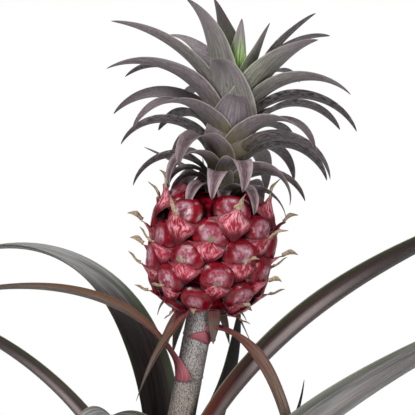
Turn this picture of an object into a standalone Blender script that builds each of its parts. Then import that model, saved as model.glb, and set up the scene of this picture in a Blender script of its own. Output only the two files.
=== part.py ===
"""Potted pineapple plant: a dwarf red pineapple on its leafy stalk, standing in a plain flower pot.

Metres, +Z up, the origin on the underside of the pot at its centre, -Y is the front.
The pot, the soil, the stem, the fruit, the core of the crown and each leaf are closed solids of
their own, a few tenths of a millimetre apart.
"""

import math

import bmesh
import bpy
import numpy as np

for old in list(bpy.data.objects):
    bpy.data.objects.remove(old)

MM = 0.001
GAP = 0.3 * MM

# Pot: a plain tapered flower pot with a thicker rim.
POT_HEIGHT = 118 * MM
POT_TOP_RADIUS = 62 * MM
POT_BOTTOM_RADIUS = 46 * MM
POT_WALL = 4 * MM
POT_FLOOR = 6 * MM
POT_RIM_HEIGHT = 16 * MM
POT_RIM_OUT = 3 * MM
DRAIN_RADIUS = 5 * MM
DRAIN_CIRCLE = 30 * MM

# Soil: fills the pot to a watering gap below the rim, round the buried foot of the trunk.
SOIL_TOP = 104 * MM
SOIL_CROWN = 3 * MM
TRUNK_FOOT = 84 * MM
TRUNK_RADIUS = 12 * MM

# Stem: the short trunk runs up into the stalk that carries the fruit; x, z and radius, top last.
STEM = (
    (0.0, 84, 10.5),
    (0.0, 108, 12.0),
    (0.2, 140, 12.0),
    (1.1, 165, 11.0),
    (4.5, 190, 9.6),
    (9.0, 214, 8.7),
    (13.6, 240, 8.4),
    (19.0, 268, 8.4),
    (23.7, 288.5, 8.6),
)

# Fruit: eyes follow each other at the golden angle, one small rise at a time.
FRUIT_BASE = (25.0 * MM, 0.0, 290.0 * MM)
FRUIT_LEAN = 8.5
FRUIT_LENGTH = 66 * MM
FRUIT_RADIUS = 32.5 * MM
GOLDEN_ANGLE = math.radians(137.508)
EYES = 38
EYE_RISE = 1.75 * MM
EYE_RADIUS = 7.5 * MM
EYE_HEIGHT = 3.6 * MM

# Crown: a short core above the fruit, which the crown leaves clasp.
CROWN_BASE = (35.0 * MM, 0.0, 360.0 * MM)
CROWN_LEAN = 7.5
CORE = ((-4.2, 8.0), (20, 7.0), (45, 5.0), (64, 2.8))  # height and radius
CROWN_LEAF_THICK = 0.8 * MM
ROSETTE_LEAF_THICK = 1.1 * MM
STALK_LEAF_THICK = 0.7 * MM


def material(name, colour, roughness):
    made = bpy.data.materials.new(name)
    made.use_nodes = True
    shader = made.node_tree.nodes["Principled BSDF"]
    shader.inputs["Base Color"].default_value = (*colour, 1)
    shader.inputs["Roughness"].default_value = roughness
    shader.inputs["Metallic"].default_value = 0.0
    return made


def add_object(name, points, faces, look, smooth=True):
    """One closed mesh object with its faces turned outwards."""
    mesh = bpy.data.meshes.new(name)
    mesh.from_pydata([tuple(map(float, p)) for p in points], [], faces)
    shaped = bmesh.new()
    shaped.from_mesh(mesh)
    bmesh.ops.recalc_face_normals(shaped, faces=shaped.faces)
    shaped.to_mesh(mesh)
    shaped.free()
    mesh.polygons.foreach_set("use_smooth", [smooth] * len(mesh.polygons))
    mesh.materials.append(look)
    obj = bpy.data.objects.new(name, mesh)
    bpy.context.scene.collection.objects.link(obj)
    return obj


def tube_faces(rings, size):
    """Faces that join equal closed rings end to end, with a cap on each end."""
    faces = [tuple(reversed(range(size)))]
    for i in range(rings - 1):
        for j in range(size):
            k = (j + 1) % size
            faces.append((i * size + j, i * size + k, (i + 1) * size + k, (i + 1) * size + j))
    faces.append(tuple(range((rings - 1) * size, rings * size)))
    return faces


def lathe(name, profile, steps, look):
    """Turns a closed profile of (radius, z) round Z; a radius of 0 gives one point on the axis."""
    points = []
    rings = []
    for radius, z in profile:
        if radius == 0:
            rings.append([len(points)] * steps)
            points.append((0, 0, z))
            continue
        rings.append(list(range(len(points), len(points) + steps)))
        for j in range(steps):
            turn = 2 * math.pi * j / steps
            points.append((radius * math.cos(turn), radius * math.sin(turn), z))
    faces = []
    for i in range(len(rings)):
        low, high = rings[i], rings[(i + 1) % len(rings)]
        if low[0] == low[1] and high[0] == high[1]:
            continue
        for j in range(steps):
            k = (j + 1) % steps
            corners = dict.fromkeys((low[j], low[k], high[k], high[j]))
            faces.append(tuple(corners))
    return add_object(name, points, faces, look)


def leaning_frame(base, lean):
    """Origin and rotation of a frame whose Z leans towards +X by this many degrees."""
    turn = math.radians(lean)
    c, s = math.cos(turn), math.sin(turn)
    return np.array(base), np.array(((c, 0, s), (0, 1, 0), (-s, 0, c)))


def in_frame(points, frame):
    origin, rotation = frame
    return points @ rotation.T + origin


def leaf(name, base, azimuth, length, width, rise, droop, stiff, sweep, twist, look,
         frame=None, clasp=6 * MM, thick=CROWN_LEAF_THICK, stations=10, across=3, taper=0.7):
    """A channelled strap leaf.

    It leaves its base at the rise angle and bends down by the droop angle along its length; a
    stiff value above 1 keeps the bend for the tip. The base is narrow and curved to the clasp
    radius of the stem it sits on.
    """
    s = np.linspace(0, 1, stations) ** 1.1
    lift = np.radians(rise - droop * s**stiff)
    turn = np.radians(azimuth + sweep * s)
    along = np.stack([np.cos(lift) * np.cos(turn), np.cos(lift) * np.sin(turn), np.sin(lift)], -1)
    spine = np.zeros((stations, 3))
    steps = np.diff(s)[:, None] * length
    spine[1:] = np.cumsum((along[1:] + along[:-1]) / 2 * steps, axis=0)
    spine += np.array(base)
    side = np.stack([-np.sin(turn), np.cos(turn), np.zeros(stations)], -1)
    inward = np.cross(along, side)
    roll = np.radians(twist * s)[:, None]
    side, inward = (side * np.cos(roll) + inward * np.sin(roll),
                    inward * np.cos(roll) - side * np.sin(roll))
    half = width / 2 * (1 - s) ** taper * (0.38 + 0.62 * np.minimum(1, s / 0.3))
    half = np.maximum(half, 0.5 * MM)
    base_curl = math.degrees(math.asin(min(0.8, half[0] / (clasp + 1.2 * MM))))
    curl = np.radians(np.interp(s, [0, 0.35, 1], [base_curl, 42, 35]))
    u = np.linspace(-1, 1, across)
    angle = curl[:, None] * u
    bow = (half / np.sin(curl))[:, None]
    lateral = (bow * np.sin(angle))[..., None] * side[:, None, :]
    raised = bow * (1 - np.cos(angle))
    body = thick * (1 - 0.45 * s)[:, None] * (1 - 0.4 * u**2)
    under = spine[:, None, :] + lateral + raised[..., None] * inward[:, None, :]
    upper = under + body[..., None] * inward[:, None, :]
    rings = np.concatenate([under, upper[:, ::-1]], axis=1).reshape(-1, 3)
    if frame is not None:
        rings = in_frame(rings, frame)
    return add_object(name, rings, tube_faces(stations, 2 * across), look)


terracotta = material("pot_clay", (0.42, 0.20, 0.12), 0.8)
soil_look = material("soil_dark", (0.035, 0.022, 0.015), 0.95)
stem_look = material("stem_grey", (0.42, 0.38, 0.34), 0.8)
fruit_look = material("fruit_red", (0.36, 0.03, 0.05), 0.4)
core_look = material("crown_core_green", (0.25, 0.28, 0.08), 0.6)
crown_look = material("crown_leaf_grey_violet", (0.20, 0.16, 0.17), 0.55)
rosette_look = material("rosette_leaf_dark", (0.09, 0.06, 0.05), 0.45)
stalk_look = material("stalk_leaf_brown", (0.30, 0.15, 0.11), 0.6)

# The pot stands on its flat underside; four round drain holes lie off its centre.
rim_bottom = POT_HEIGHT - POT_RIM_HEIGHT
slope = (POT_TOP_RADIUS - POT_BOTTOM_RADIUS) / POT_HEIGHT


def outer_radius(z):
    return POT_BOTTOM_RADIUS + slope * z


pot = lathe(
    "pot",
    (
        (0, 0),
        (POT_BOTTOM_RADIUS, 0),
        (outer_radius(rim_bottom), rim_bottom),
        (outer_radius(rim_bottom) + POT_RIM_OUT, rim_bottom),
        (POT_TOP_RADIUS + POT_RIM_OUT, POT_HEIGHT),
        (POT_TOP_RADIUS - POT_WALL, POT_HEIGHT),
        (outer_radius(POT_FLOOR) - POT_WALL, POT_FLOOR),
        (0, POT_FLOOR),
    ),
    48,
    terracotta,
)
for index in range(4):
    turn = math.pi / 4 + index * math.pi / 2
    drill = lathe(
        f"drain_cutter_{index}",
        ((0, -2 * MM), (DRAIN_RADIUS, -2 * MM), (DRAIN_RADIUS, POT_FLOOR + 2 * MM), (0, POT_FLOOR + 2 * MM)),
        16,
        terracotta,
    )
    drill.location = (DRAIN_CIRCLE * math.cos(turn), DRAIN_CIRCLE * math.sin(turn), 0)
    drill.hide_render = True
    drill.hide_set(True)
    cut = pot.modifiers.new(f"drain_{index}", "BOOLEAN")
    cut.operation = "DIFFERENCE"
    cut.solver = "EXACT"
    cut.object = drill

# The soil lies a hair inside the pot and leaves a pocket for the foot of the trunk.
lathe(
    "soil",
    (
        (0, POT_FLOOR + GAP),
        (outer_radius(POT_FLOOR) - POT_WALL - GAP, POT_FLOOR + GAP),
        (outer_radius(SOIL_TOP) - POT_WALL - GAP, SOIL_TOP),
        (0.7 * POT_TOP_RADIUS, SOIL_TOP + 0.5 * SOIL_CROWN),
        (TRUNK_RADIUS + GAP, SOIL_TOP + SOIL_CROWN),
        (TRUNK_RADIUS - 1 * MM, TRUNK_FOOT - GAP),
        (0, TRUNK_FOOT - GAP),
    ),
    36,
    soil_look,
)

# The stem is one tube from the buried foot of the trunk to the fruit.
stem_steps = 18
stem_rings = []
for x, z, radius in STEM:
    for j in range(stem_steps):
        turn = 2 * math.pi * j / stem_steps
        stem_rings.append(((x + radius * math.cos(turn)) * MM, radius * math.sin(turn) * MM, z * MM))
add_object("stem", stem_rings, tube_faces(len(STEM), stem_steps), stem_look)

# The fruit swells between its narrow ends, with one bulge for each eye.
fruit_steps, fruit_rings = 40, 22
t = np.linspace(0, 1, fruit_rings)
swell = np.interp(t, [0, 0.06, 0.2, 0.45, 0.7, 0.88, 1],
                  [0.36, 0.60, 0.88, 1.0, 0.92, 0.62, 0.30]) * FRUIT_RADIUS
around = 2 * np.pi * np.arange(fruit_steps) / fruit_steps
bulge = np.zeros((fruit_rings, fruit_steps))
for index in range(EYES):
    eye_z = 0.5 * EYE_RISE + index * EYE_RISE
    apart = (around - index * GOLDEN_ANGLE + np.pi) % (2 * np.pi) - np.pi
    distance = np.hypot(swell[:, None] * apart, t[:, None] * FRUIT_LENGTH - eye_z)
    bulge = np.maximum(bulge, EYE_HEIGHT * np.clip(1 - (distance / EYE_RADIUS) ** 2, 0, 1))
bulge *= np.clip(np.minimum(t, 1 - t) * 12, 0, 1)[:, None]
reach = swell[:, None] + bulge
fruit_points = np.stack(
    [reach * np.cos(around), reach * np.sin(around), np.repeat(t[:, None] * FRUIT_LENGTH, fruit_steps, 1)], -1
).reshape(-1, 3)
fruit_frame = leaning_frame(FRUIT_BASE, FRUIT_LEAN)
add_object("fruit", in_frame(fruit_points, fruit_frame), tube_faces(fruit_rings, fruit_steps), fruit_look)

# The core of the crown tapers from the fruit up to the youngest leaves.
crown_frame = leaning_frame(CROWN_BASE, CROWN_LEAN)
core_points = []
for z, radius in CORE:
    for j in range(12):
        turn = 2 * math.pi * j / 12
        core_points.append((radius * math.cos(turn) * MM, radius * math.sin(turn) * MM, z * MM))
add_object("crown_core", in_frame(np.array(core_points), crown_frame), tube_faces(len(CORE), 12), core_look)

# Crown leaves: height up the core, azimuth, length, width, rise, droop, stiffness, twist.
CROWN_LEAVES = (
    ("heart_back", 59, 150, 58, 23, 79, 24, 1.6, 0),
    ("heart_right", 58, -62, 48, 11, 80, 10, 2.0, 0),
    ("upright_left", 48.5, -147, 74, 19, 77, 43, 2.4, 15),
    ("back_left_top", 51, 138, 70, 15, 64, 68, 1.5, -15),
    ("left_top", 44, -176, 92, 18, 70, 70, 0.95, 20),
    ("right_top_back", 54, 46, 80, 13, 62, 24, 1.5, -20),
    ("right_mottled", 57, 0, 70, 13, 61, 58, 1.2, -20),
    ("right_broad", 48, -24, 68, 21, 69, 50, 1.5, -10),
    ("right_behind", 47, 56, 78, 13, 60, 90, 1.3, -15),
    ("front_upper", 40, -100, 48, 17, 79, 80, 2.4, 0),
    ("right_long", 42, -14, 79, 19, 69, 104, 1.2, -15),
    ("left_long", 37, -168, 87, 20, 67, 98, 1.1, 15),
    ("left_behind", 40, 158, 80, 15, 62, 106, 1.4, 15),
    ("front_middle", 18, -90, 49, 16.5, 77, 75, 2.1, 0),
    ("right_dark", 40, 8, 83, 17, 59, 113, 1.1, -15),
    ("right_third", 33, 30, 84, 17, 52, 100, 1.3, -15),
    ("right_front", 27, -30, 67, 19, 64, 132, 1.2, 0),
    ("right_back_mid", 27, 45, 62, 14, 52, 112, 1.3, -15),
    ("left_broad", 28, -146, 76, 19, 65, 132, 1.1, 0),
    ("left_mottled", 32, 174, 77, 17, 61, 117, 1.1, -25),
    ("left_inner", 26, 145, 56, 17, 66, 130, 1.2, 15),
    ("left_third", 20, 178, 69, 17, 60, 126, 1.1, 15),
    ("front_left", 15, -127, 54, 18, 77, 178, 1.1, 0),
    ("right_lower", 21, -8, 70, 18, 61, 131, 1.0, -15),
    ("right_lower_back", 16, 18, 70, 16, 55, 119, 1.1, -15),
    ("front_lower_right", 9, -70, 46, 23, 86, 192, 1.0, 0),
    ("front_lower_left", 13, -146, 49, 18, 66, 175, 1.0, 0),
    ("front_centre_low", 4, -100, 40, 21, 80, 196, 1.0, 0),
    ("right_hook", 8, -17, 48, 16, 53, 143, 1.1, -15),
    ("left_low", 10, 172, 57, 12, 43, 122, 1.0, 15),
    ("back_upper", 40, 103, 64, 14, 68, 70, 1.6, 0),
    ("back_middle_left", 34, 118, 74, 20, 64, 110, 1.2, 0),
    ("back_middle_right", 36, 76, 76, 20, 62, 108, 1.2, 0),
    ("back_lower_left", 16, 122, 70, 18, 62, 150, 1.0, 0),
    ("back_lower_right", 14, 62, 68, 18, 58, 145, 1.0, 0),
    ("back_low", 4, 92, 56, 16, 60, 170, 1.0, 0),
)
for name, height, azimuth, length, width, rise, droop, stiff, twist in CROWN_LEAVES:
    core_here = np.interp(height, [z for z, radius in CORE], [radius for z, radius in CORE]) * MM
    clasp = core_here + CROWN_LEAF_THICK + GAP
    base = (clasp * math.cos(math.radians(azimuth)), clasp * math.sin(math.radians(azimuth)), height * MM)
    leaf("crown_leaf_" + name, base, azimuth, length * MM, width * MM, rise, droop, stiff, 0, twist,
         crown_look, frame=crown_frame, clasp=clasp)

# Leaves on the stalk: base x, y, z, azimuth, length, width, rise, droop, stiffness, twist.
STALK_LEAVES = (
    ("left_long", 7.2, -3, 257, 186, 166, 18, 80, 98, 0.5, 24),
    ("right", 30.5, -3.2, 276.5, -42, 126, 13, 70, 160, 0.25, 5),
    ("left_hanging", 17.2, -7.0, 289.5, -150, 63, 14, -44, 22, 1.0, 22),
    ("right_hanging", 29.0, -8.6, 288, -78, 20, 7.5, -82, 12, 1.0, 0),
)
for name, x, y, z, azimuth, length, width, rise, droop, stiff, twist in STALK_LEAVES:
    leaf("stalk_leaf_" + name, (x * MM, y * MM, z * MM), azimuth, length * MM, width * MM, rise, droop,
         stiff, 0, twist, stalk_look, clasp=8.5 * MM, thick=STALK_LEAF_THICK, stations=12)

# Rosette leaves on the trunk: place round it and height, then as above with the sweep before the twist.
ROSETTE_LEAVES = (
    ("right_front", -8, 182, -4, 300, 34, 82, 64, 0.48, 0, -36),
    ("left_broad", 126, 184, 122, 300, 34, 88, 153, 1.28, 60, 0),
    ("back_upright", 62, 178, 50, 118, 30, 52, -38, 0.8, 0, 0),
    ("left_corner", -166, 136, -172, 262, 32, 84, 78, 0.9, 0, 25),
    ("left_low", -116, 160, -112, 190, 32, 87, 148, 1.1, 0, 0),
    ("right_low", -18, 134, -14, 300, 42, 48, 30, 1.3, 0, -28),
    ("right_spike", 32, 137, 30, 140, 12, 34, -50, 2.0, 0, 0),
    ("front_left", -128, 122, -130, 190, 34, 70, 132, 0.9, 0, 0),
    ("front", -84, 128, -84, 220, 36, 68, 124, 0.9, 0, 0),
    ("front_right", -46, 116, -44, 250, 36, 58, 95, 0.9, 0, 0),
    ("back_left", 122, 131, 124, 230, 34, 66, 110, 0.9, 0, 0),
    ("back", 96, 113, 96, 240, 32, 58, 102, 0.9, 0, 0),
    ("back_right", 66, 124, 64, 240, 34, 64, 106, 0.9, 0, 0),
    ("left_lowest", -166, 114, -166, 200, 32, 56, 95, 0.9, 0, 0),
    ("right_lowest", 16, 112, 16, 190, 32, 52, 90, 0.9, 0, 0),
)
for name, place, height, azimuth, length, width, rise, droop, stiff, sweep, twist in ROSETTE_LEAVES:
    levels = [z for x, z, radius in STEM]
    centre = np.interp(height, levels, [x for x, z, radius in STEM]) * MM
    clasp = np.interp(height, levels, [radius for x, z, radius in STEM]) * MM + ROSETTE_LEAF_THICK + GAP
    base = (centre + clasp * math.cos(math.radians(place)), clasp * math.sin(math.radians(place)), height * MM)
    leaf("rosette_leaf_" + name, base, azimuth, length * MM, width * MM, rise, droop, stiff, sweep, twist,
         rosette_look, clasp=clasp, thick=ROSETTE_LEAF_THICK, stations=14, across=5, taper=0.6)
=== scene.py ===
"""Potted pineapple plant, in the order it is put together: pot, soil, stem, rosette leaves, stalk
leaves, fruit, crown core and crown leaves, then the floor, the lights and the camera.

Metres, +Z up, the origin under the middle of the pot, -Y the front. One body, root.
"""

import math

import bmesh
import bpy
import numpy as np
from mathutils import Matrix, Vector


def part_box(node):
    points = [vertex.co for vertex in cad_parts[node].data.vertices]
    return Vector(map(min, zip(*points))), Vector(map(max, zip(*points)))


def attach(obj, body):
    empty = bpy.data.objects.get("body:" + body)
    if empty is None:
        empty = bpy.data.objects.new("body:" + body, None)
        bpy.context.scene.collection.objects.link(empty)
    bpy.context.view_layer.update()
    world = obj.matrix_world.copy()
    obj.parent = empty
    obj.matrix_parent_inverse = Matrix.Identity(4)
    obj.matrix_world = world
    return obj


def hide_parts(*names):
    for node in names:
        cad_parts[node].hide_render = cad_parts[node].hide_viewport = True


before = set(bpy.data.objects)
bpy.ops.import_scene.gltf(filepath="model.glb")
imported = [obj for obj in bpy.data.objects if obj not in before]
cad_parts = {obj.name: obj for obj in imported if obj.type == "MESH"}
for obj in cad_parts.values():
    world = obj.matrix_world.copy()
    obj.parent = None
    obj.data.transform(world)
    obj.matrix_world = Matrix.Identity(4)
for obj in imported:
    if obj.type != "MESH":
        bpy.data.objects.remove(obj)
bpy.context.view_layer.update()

# ---------------------------------------------------------------------------------------------
# Pot. A plain unglazed clay flower pot, thrown on a wheel and fired once: a thick rounded rim,
# four drain holes in its floor, faint throwing rings and a bloom of salts near its foot and rim.
MM = 0.001


class Wire:
    """One socket of a node tree; arithmetic on wires adds the Math nodes that do it."""

    def __init__(self, graph, socket):
        self.graph, self.socket = graph, socket

    def math(self, operation, *others, first=None):
        values = [self if first is None else first, *others]
        return self.graph.node("ShaderNodeMath", {"operation": operation}, dict(enumerate(values)))

    def __add__(self, other):
        return self.math("ADD", other)

    def __sub__(self, other):
        return self.math("SUBTRACT", other)

    def __rsub__(self, other):
        return self.math("SUBTRACT", self, first=other)

    def __mul__(self, other):
        return self.math("MULTIPLY", other)

    def __truediv__(self, other):
        return self.math("DIVIDE", other)

    def __pow__(self, other):
        return self.math("POWER", other)

    __radd__, __rmul__ = __add__, __mul__

    def other(self, name):
        """Another output of the same node."""
        return Wire(self.graph, self.socket.node.outputs[name])


class Graph:
    """One node tree under construction."""

    def __init__(self, tree):
        self.tree = tree

    def node(self, kind, settings=None, sockets=None, out=0):
        """Adds a node: its settings first, then the values or wires of its sockets."""
        made = self.tree.nodes.new(kind)
        for key, value in (settings or {}).items():
            setattr(made, key, value)
        for key, value in (sockets or {}).items():
            self.feed(made.inputs[key], value)
        return Wire(self, made.outputs[out]) if len(made.outputs) else made

    def feed(self, socket, value):
        if isinstance(value, Wire):
            self.tree.links.new(value.socket, socket)
        elif socket.type == "RGBA":
            socket.default_value = (*value[:3], 1)
        else:
            socket.default_value = value

    def ease(self, value, low, high):
        """0 below low, 1 above high and a smooth step between."""
        return self.node("ShaderNodeMapRange", {"interpolation_type": "SMOOTHSTEP"},
                         {"Value": value, "From Min": low, "From Max": high})

    def blend(self, one, two, amount):
        """Colour one turning into colour two as the amount goes from 0 to 1."""
        return self.node("ShaderNodeMix", {"data_type": "RGBA"}, {0: amount, 6: one, 7: two}, out=2)

    def vector(self, x, y, z=0.0):
        return self.node("ShaderNodeCombineXYZ", {}, {0: x, 1: y, 2: z})

    def stretched(self, where, scale):
        return self.node("ShaderNodeMapping", {}, {"Vector": where, "Scale": scale})

    def noise(self, where, scale, detail=3.0, rough=0.55):
        return self.node("ShaderNodeTexNoise", {},
                         {"Vector": where, "Scale": scale, "Detail": detail, "Roughness": rough})

    def height_of(self, where):
        return self.node("ShaderNodeSeparateXYZ", {}, {0: where}, out="Z")

    def attributes(self, *names):
        """The numbers stored on the mesh under these names, in the same order."""
        return [self.node("ShaderNodeAttribute", {"attribute_name": name}, {}, out="Fac")
                for name in names]

    def surface(self, colour, roughness, height=None, depth=0.0, **sockets):
        """Ends a material's tree in its shader, with a bump of this depth in metres."""
        shading = {"Base Color": colour, "Roughness": roughness}
        shading.update({name.replace("_", " "): value for name, value in sockets.items()})
        if height is not None:
            bump = {"Height": height, "Distance": depth}
            shading["Normal"] = self.node("ShaderNodeBump", {}, bump)
        shader = self.node("ShaderNodeBsdfPrincipled", {}, shading)
        self.node("ShaderNodeOutputMaterial", {}, {"Surface": shader})


def shade(red, green, blue):
    """A colour card value, 0 to 255 a channel, as the linear light that the shader takes."""
    return tuple(((c / 255 + 0.055) / 1.055) ** 2.4 if c > 10 else c / 255 / 12.92
                 for c in (red, green, blue))


def new_finish(name):
    made = bpy.data.materials.new(name)
    made.use_nodes = True
    made.node_tree.nodes.clear()
    return made, Graph(made.node_tree)


def place_for(graph):
    return graph.node("ShaderNodeTexCoord", {}, {}, out="Object")


def closed_mesh(name, points, faces):
    """A mesh with its faces turned outwards."""
    mesh = bpy.data.meshes.new(name)
    mesh.from_pydata([tuple(map(float, p)) for p in points], [], faces)
    shaped = bmesh.new()
    shaped.from_mesh(mesh)
    bmesh.ops.recalc_face_normals(shaped, faces=shaped.faces)
    shaped.to_mesh(mesh)
    shaped.free()
    mesh.shade_smooth()
    return mesh


def in_scene(name, data):
    """A new object of the scene, from a mesh, a light or a camera."""
    made = bpy.data.objects.new(name, data)
    bpy.context.scene.collection.objects.link(made)
    return made


def put_in_place(name, mesh, look, slot, *stands_for):
    """Makes the mesh a piece of the plant that stands for these CAD nodes."""
    mesh.materials.clear()
    mesh.materials.append(look)
    piece = in_scene(name, mesh)
    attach(piece, "root")
    if stands_for:
        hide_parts(*stands_for)


def turned(profile, steps):
    """Points and faces of a closed profile of (radius, height) turned round Z."""
    points, rings = [], []
    for radius, height in profile:
        if radius == 0:
            rings.append([len(points)] * steps)
            points.append((0, 0, height))
            continue
        rings.append(range(len(points), len(points) + steps))
        for j in range(steps):
            turn = 2 * math.pi * j / steps
            points.append((radius * math.cos(turn), radius * math.sin(turn), height))
    faces = []
    for i, low in enumerate(rings):
        high = rings[(i + 1) % len(rings)]
        for j in range(steps):
            k = (j + 1) % steps
            corners = tuple(dict.fromkeys((low[j], low[k], high[k], high[j])))
            if len(corners) > 2:
                faces.append(corners)
    return points, faces


def rounded(corners, radius):
    """The outline with each corner that is off the axis rounded, by five points."""
    outline = []
    count = len(corners)
    for i, corner in enumerate(corners):
        here, before, after = (np.array(corners[k % count], float) for k in (i, i - 1, i + 1))
        if corner[0] == 0:
            outline.append(tuple(here))
            continue
        reach = min(radius, *(0.45 * np.linalg.norm(end - here) for end in (before, after)))
        start = here + (before - here) / np.linalg.norm(before - here) * reach
        end = here + (after - here) / np.linalg.norm(after - here) * reach
        for share in np.linspace(0, 1, 5):
            bend = (1 - share) ** 2 * start + 2 * share * (1 - share) * here + share**2 * end
            outline.append(tuple(bend))
    return outline


_, pot_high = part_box("pot")
POT_RIM_RADIUS, POT_HEIGHT = pot_high.x, pot_high.z
POT_TOP_RADIUS = POT_RIM_RADIUS - 3 * MM
POT_FOOT_RADIUS, POT_WALL, POT_FLOOR, POT_RIM_HEIGHT = 46 * MM, 4 * MM, 6 * MM, 16 * MM
DRAIN_RADIUS, DRAIN_CIRCLE = 5 * MM, 30 * MM


def pot_side(height):
    return POT_FOOT_RADIUS + (POT_TOP_RADIUS - POT_FOOT_RADIUS) * height / POT_HEIGHT


rim_foot = POT_HEIGHT - POT_RIM_HEIGHT
pot_outline = rounded((
    (0, 0),
    (POT_FOOT_RADIUS, 0),
    (pot_side(rim_foot), rim_foot),
    (pot_side(rim_foot) + 2.6 * MM, rim_foot),
    (POT_RIM_RADIUS, POT_HEIGHT),
    (POT_TOP_RADIUS - POT_WALL, POT_HEIGHT),
    (pot_side(POT_FLOOR) - POT_WALL, POT_FLOOR),
    (0, POT_FLOOR),
), 1.7 * MM)
pot_body = in_scene("pot_body", closed_mesh("pot_body", *turned(pot_outline, 112)))
drills = []
for index in range(4):
    turn = math.pi / 4 + index * math.pi / 2
    low, high = -2 * MM, 2 * POT_FLOOR
    bit = ((0, low), (DRAIN_RADIUS, low), (DRAIN_RADIUS, high), (0, high))
    points, faces = turned(bit, 28)
    points = [(x + DRAIN_CIRCLE * math.cos(turn), y + DRAIN_CIRCLE * math.sin(turn), z)
              for x, y, z in points]
    drill = in_scene(f"drill_{index}", closed_mesh(f"drill_{index}", points, faces))
    drills.append(drill)
    cut = pot_body.modifiers.new(f"drain_{index}", "BOOLEAN")
    cut.operation, cut.solver, cut.object = "DIFFERENCE", "EXACT", drill
pot_mesh = bpy.data.meshes.new_from_object(
    pot_body.evaluated_get(bpy.context.evaluated_depsgraph_get()))
for helper in (*drills, pot_body):
    bpy.data.objects.remove(helper)
pot_mesh.set_sharp_from_angle(angle=math.radians(40))

clay, g = new_finish("fired_clay")
where = place_for(g)
grain = g.noise(where, 900, 4)
cloud = g.noise(where, 38, 4)
rings = g.noise(g.stretched(where, (20, 20, 900)), 1.0, 2)
height = g.height_of(where)
near_ends = 1 - g.ease(height, 0.006, 0.045) + g.ease(height, 0.088, 0.118) * 0.7
salts = g.ease(cloud, 0.50, 0.72) * near_ends
body_colour = g.blend(shade(158, 92, 66), shade(186, 116, 84), g.ease(cloud, 0.3, 0.7))
body_colour = g.blend(body_colour, shade(140, 78, 56), g.ease(grain, 0.52, 0.66) * 0.5)
body_colour = g.blend(body_colour, shade(206, 186, 168), salts * 0.55)
g.surface(body_colour, 0.78 + grain * 0.15, grain * 0.4 + rings * 0.8, 0.35 * MM)
put_in_place("pot", pot_mesh, clay, "pot", "pot")

# ---------------------------------------------------------------------------------------------
# Soil. Dark peat compost filled to a watering gap below the rim, a little higher round the
# trunk, with loose crumbs of peat, grains of white perlite and chips of bark on its top.
soil_low, soil_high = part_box("soil")
SOIL_RISE, SOIL_BUMP, SOIL_CLEAR = 3 * MM, 1.3 * MM, 0.3 * MM
SOIL_EDGE_HEIGHT = soil_high.z - SOIL_RISE
TRUNK_RADIUS, TRUNK_FOOT = 12 * MM, 84 * MM

soil_outline = [(0, soil_low.z), (pot_side(POT_FLOOR) - POT_WALL - SOIL_CLEAR, soil_low.z)]
edge_radius = pot_side(SOIL_EDGE_HEIGHT) - POT_WALL - SOIL_CLEAR
for share in np.linspace(0, 1, 34):
    radius = edge_radius + (TRUNK_RADIUS + 0.2 * MM - edge_radius) * share
    soil_outline.append((radius, SOIL_EDGE_HEIGHT + SOIL_RISE * share**1.5))
soil_outline += [(TRUNK_RADIUS - 1 * MM, TRUNK_FOOT - SOIL_CLEAR), (0, TRUNK_FOOT - SOIL_CLEAR)]
soil_points, soil_faces = turned(soil_outline, 110)
soil_points = np.array(soil_points)
loose = soil_points[:, 2] > SOIL_EDGE_HEIGHT - 1 * MM
SOIL_WAVES = ((310, 170, 0), (-260, 430, 1), (820, -560, 2), (510, 900, 4), (-1400, 800, 5))
waves = sum(np.sin(soil_points[:, 0] * a + soil_points[:, 1] * b + c) for a, b, c in SOIL_WAVES)
soil_points[loose, 2] += SOIL_BUMP * (waves[loose] / len(SOIL_WAVES) - 0.45)

peat, g = new_finish("peat_compost")
where = place_for(g)
coarse, fine = g.noise(where, 210, 5, 0.7), g.noise(where, 1400, 3)
earth = g.blend(shade(32, 22, 17), shade(78, 56, 42), g.ease(coarse, 0.35, 0.7))
earth = g.blend(earth, shade(116, 90, 66), g.ease(fine, 0.60, 0.70) * 0.6)
g.surface(earth, 0.93, coarse + fine * 0.4, 1.2 * MM)
soil_mesh = closed_mesh("soil", soil_points, soil_faces)
put_in_place("soil", soil_mesh, peat, "soil", "soil")


def lump(name, size, seed):
    """A small faceted lump, for a crumb, a grain or a chip."""
    shaped = bmesh.new()
    bmesh.ops.create_icosphere(shaped, subdivisions=1, radius=1)
    rough = np.random.default_rng(seed)
    for vertex in shaped.verts:
        vertex.co *= rough.uniform(0.72, 1.15)
        vertex.co = [c * s for c, s in zip(vertex.co, size)]
    mesh = bpy.data.meshes.new(name)
    shaped.to_mesh(mesh)
    shaped.free()
    return bpy.data.objects.new(name, mesh)


def new_pattern(name, inputs):
    """A Geometry Nodes tree with these named inputs; gives the tree, its graph and its wires."""
    tree = bpy.data.node_groups.new(name, "GeometryNodeTree")
    tree.interface.new_socket("Geometry", in_out="OUTPUT", socket_type="NodeSocketGeometry")
    for label, kind in (("Geometry", "Geometry"), *inputs):
        tree.interface.new_socket(label, in_out="INPUT", socket_type="NodeSocket" + kind)
    graph = Graph(tree)
    given = graph.node("NodeGroupInput")
    return tree, graph, given.other


def finish_pattern(graph, geometry, look):
    """Ends a pattern: instances made real, their material set, and the result put out."""
    real = graph.node("GeometryNodeRealizeInstances", {}, {"Geometry": geometry})
    coated = graph.node("GeometryNodeSetMaterial", {}, {"Geometry": real, "Material": look})
    graph.node("NodeGroupOutput", {}, {"Geometry": coated})


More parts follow.
